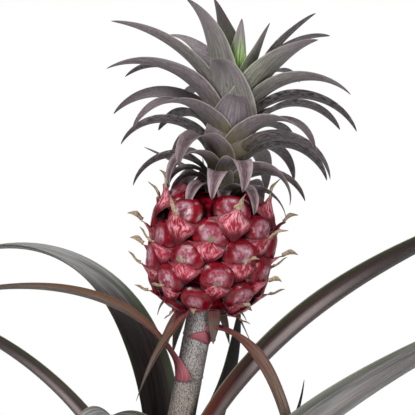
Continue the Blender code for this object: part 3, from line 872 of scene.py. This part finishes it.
eyes = g.node("GeometryNodeInstanceOnPoints", {}, {
    "Points": spots, "Instance": shapes, "Pick Instance": True, "Rotation": upright,
    "Scale": g.vector(size * vary, size * vary, size)})
shake = g.node("ShaderNodeVectorMath", {"operation": "SCALE"}, {
    0: g.node("FunctionNodeRandomValue", {"data_type": "FLOAT_VECTOR"},
              {0: (-1, -1, -1), 1: (1, 1, 1), "Seed": given("Seed")}),
    "Scale": given("Jitter")})
eyes = g.node("GeometryNodeRotateInstances", {}, {"Instances": eyes, "Rotation": shake})
toned = g.node("GeometryNodeStoreNamedAttribute", {"data_type": "FLOAT", "domain": "INSTANCE"}, {
    "Geometry": eyes, "Name": "tone",
    "Value": g.node("FunctionNodeRandomValue", {"data_type": "FLOAT"},
                    {"Seed": given("Seed") + 7}, out=1)})
finish_pattern(g, toned, given("Material"))

# Between the eyes the flesh is a wet, almost black red.
flesh_skin, g = new_finish("fruit_flesh")
wet = g.noise(place_for(g), 260, 3)
g.surface(g.blend(shade(58, 3, 11), shade(132, 12, 30), g.ease(wet, 0.38, 0.62)), 0.85, wet,
          0.4 * MM, Specular_IOR_Level=0.03)

# The cushions: deep red and polished on their flanks, a lilac bloom with pink rays on top.
dome_skin, g = new_finish("fruit_cushion")
where = place_for(g)
out, fan, tone = g.attributes("out", "fan", "tone")
rays = g.noise(g.vector(fan * 1.6, out * 1.4, tone * 40), 2.0, 5, 0.65)
blotches = g.noise(where, 300, 4, 0.6)
speckle = g.noise(where, 1900, 2, 0.6)
flank = g.blend(shade(86, 0, 15), shade(140, 5, 32), g.ease(blotches, 0.30, 0.70))
bloom = g.blend(shade(150, 44, 66), shade(184, 140, 154),
                g.ease(rays * 0.4 + blotches * 0.6, 0.40, 0.60))
bloom = g.blend(bloom, shade(222, 204, 212),
                g.ease(speckle * 0.4 + blotches * 0.8, 0.62, 0.76) * 0.8)
bloom = g.blend(bloom, shade(120, 14, 34), g.ease(rays * 0.8 + blotches * 0.2, 0.56, 0.66) * 0.7)
cover = 1 - g.ease(out + (blotches - 0.5) * 0.55 + (tone - 0.5) * 0.25, 0.40, 0.64)
skin = g.blend(flank, bloom, cover * 0.9)
# Painted shade: each cushion turns almost black at its foot, where it sinks into the grooves
# between the eyes.
skin = g.blend(skin, shade(34, 0, 5), g.ease(out, 0.84, 0.99))
g.surface(skin, 0.17 + cover * 0.22, rays * 0.4 + blotches * 0.6 + speckle * 0.25, 0.4 * MM,
          Coat_Weight=0.22, Coat_Roughness=0.08, Specular_IOR_Level=0.3)

# The bracts: rose pink, dusted with whitish scurf that thins to deep red at their feet.
bract_skin, g = new_finish("fruit_bract")
where = place_for(g)
climb, cross, tone = g.attributes("climb", "cross", "tone")
edge = cross.math("ABSOLUTE")
blotches = g.noise(where, 260, 3, 0.6)
fluff = g.noise(where, 1700, 3, 0.7)
fibres = g.noise(g.vector(cross * 5, climb * 2.2, tone * 40), 2.0, 3, 0.6)
veins = fibres * 0.6 + blotches * 0.4 + (tone - 0.5) * 0.15
pink = g.blend(shade(140, 10, 34), shade(208, 72, 98), g.ease(veins, 0.38, 0.60))
powder = g.ease(climb, 0.2, 0.5) * g.ease(fluff * 0.3 + blotches * 0.4 + fibres * 0.7, 0.66, 0.84)
skin = g.blend(pink, shade(226, 178, 186), powder * 0.85)
skin = g.blend(skin, shade(92, 2, 18), g.ease(edge, 0.45, 0.92) * 0.85)
pale_margin = g.ease(edge, 0.45, 0.9) * g.ease(fluff, 0.50, 0.62)
skin = g.blend(skin, shade(150, 118, 122), pale_margin * 0.5)
deep_foot = 1 - g.ease(climb + (fibres - 0.5) * 0.4, 0.14, 0.54)
skin = g.blend(skin, shade(76, 0, 12), deep_foot * 0.94)
skin = g.blend(skin, shade(170, 140, 112), g.ease(climb + (fluff - 0.5) * 0.1, 0.95, 1.02))
g.surface(skin, 0.5, fibres * 0.7 + fluff * 0.35, 0.35 * MM, Specular_IOR_Level=0.3)

# The dried tips: papery, straw to dark brown.
tip_skin, g = new_finish("fruit_dried_tip")
where = place_for(g)
[climb] = g.attributes("climb")
fibre = g.noise(where, 900, 3, 0.7)
straw = g.blend(shade(140, 114, 88), shade(204, 186, 158), g.ease(fibre, 0.38, 0.62))
straw = g.blend(straw, shade(62, 46, 38), g.ease(fibre + climb * 0.35, 0.72, 0.92) * 0.8)
g.surface(straw, 0.8, fibre, 0.4 * MM)

SPIRAL = {
    "Count": EYES, "First": FIRST_EYE, "Rise": EYE_RISE, "Golden Angle": GOLDEN_ANGLE,
    "First Angle": FIRST_EYE_ANGLE, "Reach": 2 * FRUIT_RADIUS, "Fruit Length": FRUIT_LENGTH,
    "End Size": 0.84, "Jitter": 0.05, "Seed": 11}
EYE_PARTS = (
    ("fruit_cushions", dome_skin, 0.12, [dome_shape(f"dome_{i}", 5 + i) for i in range(4)]),
    ("fruit_bracts", bract_skin, 0.24, [bract_shape(f"bract_{i}", 20 + i) for i in range(4)]),
    ("fruit_dried_tips", tip_skin, 0.24, [
        tip_shape("tip_0", 1, 11, 18, 14), tip_shape("tip_1", 2, 12, -20, -10),
        tip_shape("tip_2", 3, 9.5, 30, -20), tip_shape("tip_3", 4, 11, 10, 26)]),
)


def lean_with_fruit(mesh):
    """Moves an upright mesh to where the fruit leans on its stalk."""
    points = np.array([v.co for v in mesh.vertices])
    mesh.vertices.foreach_set("co", in_frame(points, fruit_frame).astype(np.float32).ravel())


for name, look, growth, shapes in EYE_PARTS:
    mesh = grown(spiral, flesh_mesh, {
        **SPIRAL, "Top Growth": growth, "Shapes": kept_aside(name + "_shapes", shapes),
        "Material": look})
    lean_with_fruit(mesh)
    mesh.shade_smooth()
    put_in_place(name, mesh, look, "fruit")
lean_with_fruit(flesh_mesh)
put_in_place("fruit_flesh", flesh_mesh, flesh_skin, "fruit", "fruit")

# ---------------------------------------------------------------------------------------------
# Crown core. The stem carries on above the fruit as a short pale green shoot that narrows to its
# growing tip, one growth with the fruit, and is hidden by the leaves that grow from it.
CROWN_BASE, CROWN_LEAN = (35.0 * MM, 0, 360.0 * MM), 7.5
CORE_HEIGHTS, CORE_RADII = np.array((-4.2, 20, 45, 64)), np.array((8.0, 7.0, 5.0, 2.8))
CORE_RINGS, CORE_STEPS = 50, 36
crown_frame = leaning_frame(CROWN_BASE, CROWN_LEAN)
core_points = []
for height in np.linspace(CORE_HEIGHTS[0], CORE_HEIGHTS[-1], CORE_RINGS):
    radius = np.interp(height, CORE_HEIGHTS, CORE_RADII) + 0.2 * math.sin(height * 1.7)
    for turn in 2 * np.pi * np.arange(CORE_STEPS) / CORE_STEPS:
        core_points.append((radius * math.cos(turn), radius * math.sin(turn), height))
core_skin, g = new_finish("crown_core_skin")
blotches = g.noise(place_for(g), 300, 3)
g.surface(g.blend(shade(96, 92, 46), shade(140, 146, 84), blotches), 0.6, blotches, 0.3 * MM)
core_mesh = closed_mesh("crown_core", in_frame(np.array(core_points) * MM, crown_frame),
                        tube_faces(CORE_RINGS, CORE_STEPS))
put_in_place("crown_core", core_mesh, core_skin, "crown_core", "crown_core")

# ---------------------------------------------------------------------------------------------
# Crown leaves. A tuft of triangular leaves round the core: grey-violet scurf outside, mottled
# purple brown inside, olive at the foot, bright green in the young heart, with fine pale margins.
crown_skin, g = new_finish("crown_leaf_skin")
along, edge, under, tone, tint = g.attributes("along", "edge", "under", "tone", "tint")
ribs, streaks = leaf_noise(g, 4.5, 0.04), leaf_noise(g, 0.7, 0.06, 3)
dust, mottle = leaf_noise(g, 4.5, 1.2, 3, 0.7), leaf_noise(g, 0.9, 0.28, 4, 0.65)
outside = g.blend(shade(120, 109, 114), shade(152, 146, 151),
                  g.ease(streaks * 0.7 + ribs * 0.3, 0.36, 0.62))
outside = g.blend(outside, shade(58, 42, 46), g.ease(dust, 0.48, 0.62) * 0.75)
outside = g.blend(outside, shade(122, 84, 96),
                  g.ease(mottle, 0.46, 0.68) * (0.3 + (1 - tone) * 1.2))
inside = g.blend(shade(38, 22, 28), shade(88, 64, 72), g.ease(mottle, 0.36, 0.62))
inside = g.blend(inside, shade(160, 150, 157),
                 g.ease(dust + (mottle - 0.5) * 0.5, 0.50, 0.62) * 0.65)
skin = g.blend(inside, outside, under)
bloom = mottle * 0.6 + streaks * 0.25 + dust * 0.15 + (edge - 0.6) * 0.25
blush = g.blend(shade(84, 54, 60), shade(182, 160, 166), g.ease(bloom, 0.38, 0.58))
low_down = (tint * -1).math("MAXIMUM", 0)
skin = g.blend(skin, blush, low_down * g.ease(along, 0.15, 0.55) * 0.85)
foot = g.blend(shade(74, 60, 42), shade(132, 126, 88), g.ease(dust, 0.38, 0.62))
skin = g.blend(skin, foot, (1 - g.ease(along + (streaks - 0.5) * 0.25, 0.10, 0.36)) * 0.85)
heart = g.blend(shade(66, 118, 26), shade(168, 200, 98), g.ease(streaks, 0.38, 0.62))
skin = g.blend(skin, heart, tint.math("MAXIMUM", 0) * (1 - g.ease(along, 0.35, 0.9)))
skin = g.blend(skin, shade(186, 178, 170), g.ease(edge, 0.94, 0.985) * 0.75)
skin = g.blend(skin, shade(70, 52, 50), g.ease(along, 0.93, 0.99) * 0.6)
# Darker by the leaf's tone, in dark mottles: partly its own mottled colour, partly painted shade,
# as the tone of leaves turned to the side is lowered.
skin = g.blend(skin, shade(16, 9, 9), (1 - tone) * (0.45 + g.ease(mottle, 0.40, 0.58) * 1.0))
g.surface(skin, 0.5 + dust * 0.12, ribs * 0.6 + dust * 0.5, 0.15 * MM, Sheen_Weight=0.12)

# Height, azimuth, length, width, rise, droop, stiffness, twist, tone, and greenness, which below
# 0 is a purple blush instead; the last figure is 1 where a CAD node stands behind the leaf and 0
# for the smaller ones made only here.
CROWN_LEAVES = (
    ("heart_back", 59, 146, 60, 28, 80, 22, 1.6, 0, 0.75, 0.35, 1),
    ("heart_tip", 62, -100, 43, 13, 91, 2, 1.0, 0, 1.0, 1.0, 0),
    ("heart_right", 57, -24, 49, 18, 79, 6, 2.0, 0, 1.0, 0.35, 1),
    ("upright_left", 45, -156, 77, 27, 79, 50, 2.4, 10, 1.0, 0.15, 1),
    ("back_left_top", 51, 140, 70, 16, 64, 69, 1.5, -15, 0.9, 0.0, 1),
    ("left_top", 45, -178, 92, 16, 70, 70, 0.95, 20, 0.95, 0.1, 1),
    ("right_top_back", 55, 24, 73, 20, 66, 26, 1.5, -22, 0.7, 0.1, 1),
    ("right_mottled", 56, 32, 78, 18, 67, 62, 1.2, -20, 0.8, 0.0, 1),
    ("right_broad", 47, -27, 69, 27, 70, 50, 1.5, -10, 1.0, 0.2, 1),
    ("right_behind", 47, 56, 78, 13, 60, 90, 1.3, -15, 0.5, 0.0, 1),
    ("front_upper", 41, -121, 49, 35, 83, 96, 2.8, 0, 1.0, 0.1, 1),
    ("right_long", 42, -14, 79, 19, 70, 104, 1.2, -15, 0.9, 0.1, 1),
    ("left_long", 37, -168, 87, 20, 68, 98, 1.1, 15, 0.95, 0.0, 1),
    ("left_behind", 40, 158, 80, 15, 62, 106, 1.4, 15, 0.5, 0.0, 1),
    ("front_middle", 25, -87, 46, 29, 82, 96, 2.6, 0, 0.95, 0.0, 1),
    ("right_dark", 40, 8, 83, 17, 60, 114, 1.1, -15, 0.5, 0.0, 1),
    ("right_third", 33, 30, 82, 17, 54, 100, 1.3, -15, 0.6, 0.0, 1),
    ("right_front", 27, -34, 67, 23, 66, 132, 1.2, 0, 0.9, 0.0, 1),
    ("right_back_mid", 27, 45, 62, 14, 52, 112, 1.3, -15, 0.6, 0.0, 1),
    ("left_broad", 29, -147, 75, 23, 66, 132, 1.1, 0, 0.9, 0.0, 1),
    ("left_mottled", 32, 174, 76, 17, 62, 118, 1.1, -25, 0.8, 0.0, 1),
    ("left_inner", 26, 145, 56, 17, 66, 130, 1.2, 15, 0.6, 0.0, 1),
    ("left_third", 20, 178, 68, 17, 62, 128, 1.1, 15, 0.7, 0.0, 1),
    ("front_left", 17, -129, 54, 21, 80, 181, 1.1, 0, 0.9, -0.5, 1),
    ("right_lower", 21, -8, 69, 18, 62, 132, 1.0, -15, 0.8, 0.0, 1),
    ("right_lower_back", 16, 18, 69, 16, 56, 120, 1.1, -15, 0.6, 0.0, 1),
    ("right_back_low", 16, 42, 62, 14, 52, 126, 1.2, -15, 0.6, 0.0, 0),
    ("left_stub", 5, 150, 50, 11, 20, 4, 1.0, 15, 0.7, 0.0, 0),
    ("front_lower_right", 9, -70, 44, 17, 86, 196, 1.0, 0, 0.9, -0.9, 1),
    ("front_lower_left", 13, -146, 48, 15, 66, 180, 1.0, 0, 0.9, -0.9, 1),
    ("front_centre_low", 4, -100, 38, 15, 80, 198, 1.0, 0, 0.9, -1.0, 1),
    ("right_hook", 8, -20, 47, 16, 54, 146, 1.1, -15, 0.85, -0.6, 1),
    ("right_hook_back", 6, 15, 50, 12, 44, 106, 1.1, -15, 0.7, -0.4, 0),
    ("left_low", 10, 172, 56, 12, 46, 124, 1.0, 15, 0.7, 0.0, 1),
    ("left_loop_outer", 9, 176, 55, 9, 40, 232, 1.0, 15, 0.8, -0.6, 0),
    ("left_loop_inner", 6, -172, 48, 9, 38, 240, 1.0, 15, 0.7, -0.6, 0),
    ("front_low_right", -1, -54, 36, 13, 60, 156, 1.0, 0, 0.9, -1.0, 0),
    ("front_low_left", -1, -126, 35, 13, 60, 172, 1.0, 0, 0.9, -1.0, 0),
    ("right_low", 0, -18, 38, 12, 40, 110, 1.0, -10, 0.8, 0.0, 0),
    ("front_small", -2, -88, 26, 11, 54, 150, 1.0, 0, 0.9, -1.0, 0),
    ("back_upper", 40, 103, 64, 16, 68, 70, 1.6, 0, 0.8, 0.1, 1),
    ("back_middle_left", 34, 118, 74, 22, 64, 110, 1.2, 0, 0.8, 0.0, 1),
    ("back_middle_right", 36, 76, 76, 22, 62, 108, 1.2, 0, 0.8, 0.0, 1),
    ("back_lower_left", 16, 122, 70, 20, 62, 150, 1.0, 0, 0.8, 0.0, 1),
    ("back_lower_right", 14, 62, 68, 20, 58, 145, 1.0, 0, 0.8, 0.0, 1),
    ("back_low", 4, 92, 56, 19, 60, 170, 1.0, 0, 0.85, 0.0, 1),
    ("back_low_left", 1, 130, 44, 18, 58, 165, 1.0, 0, 0.85, 0.0, 0),
    ("back_low_right", 1, 52, 44, 18, 56, 160, 1.0, 0, 0.85, 0.0, 0),
)
BROADER, MORE_TWIST = 1.22, 1.9  # on every width and twist in the table
OFF_THE_CORE, SIDE_STEP = 1.1, 0.8  # mm from the core, and how much more to either side
FRONT_STEP = 0.085  # for the leaves at the front, how far out each mm of height brings them
OUTER_TONE, OUTER_SHADE, INNER_SHADE = 0.88, 0.86, 0.62  # painted shade: side leaves are painted darker, inner ones most
SIDE_CHANNEL, FRONT_CHANNEL = 54, 30  # degrees of curl across the leaf
for seed, row in enumerate(CROWN_LEAVES):
    name, height, azimuth, length, width, rise, droop, stiff, twist, tone, young, in_cad = row
    name = "crown_leaf_" + name
    clasp = (np.interp(height, CORE_HEIGHTS, CORE_RADII) + OFF_THE_CORE) * MM
    turn = math.radians(azimuth)
    side_on = 1 - math.sin(turn) ** 2
    forward = height * max(0.0, -math.sin(turn)) ** 3
    stand_off = clasp + (SIDE_STEP * side_on + FRONT_STEP * forward) * MM
    base = (stand_off * math.cos(turn), stand_off * math.sin(turn), height * MM)
    # Painted shade: a leaf turned to either side gets a lower tone, an inner one more, so it comes
    # out darker.
    tone *= 1 - (1 - (OUTER_SHADE if tone >= OUTER_TONE else INNER_SHADE)) * side_on
    mesh = leaf_mesh(name, base, azimuth, length * MM, BROADER * width * MM, rise, droop, stiff,
                     0, MORE_TWIST * twist, 100 + seed, tone, young, clasp=clasp, hug=3 * MM,
                     leaning=crown_frame, outline=((0, 0.7), (0.22, 1), (1, 1)), taper=0.66,
                     flat=FRONT_CHANNEL + (SIDE_CHANNEL - FRONT_CHANNEL) * side_on)
    put_in_place(name, mesh, crown_skin, "crown_leaf", *([name] if in_cad else []))

# ---------------------------------------------------------------------------------------------
# Studio. A plain pale floor, a white surround, and large soft lights: a key from the upper left
# of the camera, a second from the right, and one overhead. The floor fades into the white.
FLOOR_RADIUS, FADE_FROM, FADE_TO = 1.15, 0.40, 1.0  # in metres from the pot
SURROUND_LIGHT = 0.21
floor_mesh = bpy.data.meshes.new("floor")
shaped = bmesh.new()
bmesh.ops.create_circle(shaped, cap_ends=True, segments=128, radius=FLOOR_RADIUS)
shaped.to_mesh(floor_mesh)
shaped.free()
floor = in_scene("floor", floor_mesh)
paper, g = new_finish("floor_paper")
pale = g.blend(shade(226, 225, 223), shade(232, 231, 229), g.noise(place_for(g), 30))
lit = g.node("ShaderNodeBsdfPrincipled", {}, {"Base Color": pale, "Roughness": 0.9})
white = g.node("ShaderNodeEmission", {}, {"Color": (1, 1, 1), "Strength": 1.0})
far = g.node("ShaderNodeVectorMath", {"operation": "LENGTH"}, {0: place_for(g)}, out="Value")
direct = g.node("ShaderNodeLightPath", {}, {}, out="Is Camera Ray")
fading = g.node("ShaderNodeMixShader", {},
                {0: g.ease(far, FADE_FROM, FADE_TO) * direct, 1: lit, 2: white})
g.node("ShaderNodeOutputMaterial", {}, {"Surface": fading})
floor_mesh.materials.append(paper)

surround = bpy.data.worlds.new("surround")
bpy.context.scene.world = surround
surround.use_nodes = True
surround.node_tree.nodes.clear()
g = Graph(surround.node_tree)
glow = g.node("ShaderNodeBackground", {}, {"Color": (1, 1, 1), "Strength": SURROUND_LIGHT})
seen = g.node("ShaderNodeBackground", {}, {"Color": (1, 1, 1), "Strength": 1.0})
direct = g.node("ShaderNodeLightPath", {}, {}, out="Is Camera Ray")
both = g.node("ShaderNodeMixShader", {}, {0: direct, 1: glow, 2: seen})
g.node("ShaderNodeOutputWorld", {}, {"Surface": both})

LOOK_AT = (0.03, 0, 0.33)
SOFTBOXES = (  # place, size and watts
    ("key", (-0.75, -1.0, 1.05), 0.6, 16.5),
    ("fill", (0.95, -0.9, 0.55), 0.5, 6.5),
    ("overhead", (0.1, 0.2, 1.35), 0.8, 12),
)
for name, place, size, watts in SOFTBOXES:
    light = bpy.data.lights.new(name, "AREA")
    light.shape, light.size, light.energy = "SQUARE", size, watts
    lamp = in_scene(name, light)
    lamp.location = place
    away = np.array(place) - np.array(LOOK_AT)
    flat_away = math.hypot(away[0], away[1])
    lamp.rotation_euler = (math.atan2(flat_away, away[2]), 0, math.atan2(away[0], -away[1]))

camera_data = bpy.data.cameras.new("camera")
camera_data.lens, camera_data.sensor_width = 216.9, 36  # in mm: a long lens, from 1.5 m
camera_data.clip_start, camera_data.clip_end = 0.05, 20
camera = in_scene("camera", camera_data)
camera.location = (0.0267, -1.49794, 0.43000)
camera.rotation_euler = (math.radians(87), 0, 0)
bpy.context.scene.camera = camera
bpy.context.scene.view_settings.view_transform = "Standard"
bpy.context.scene.view_settings.look = "None"
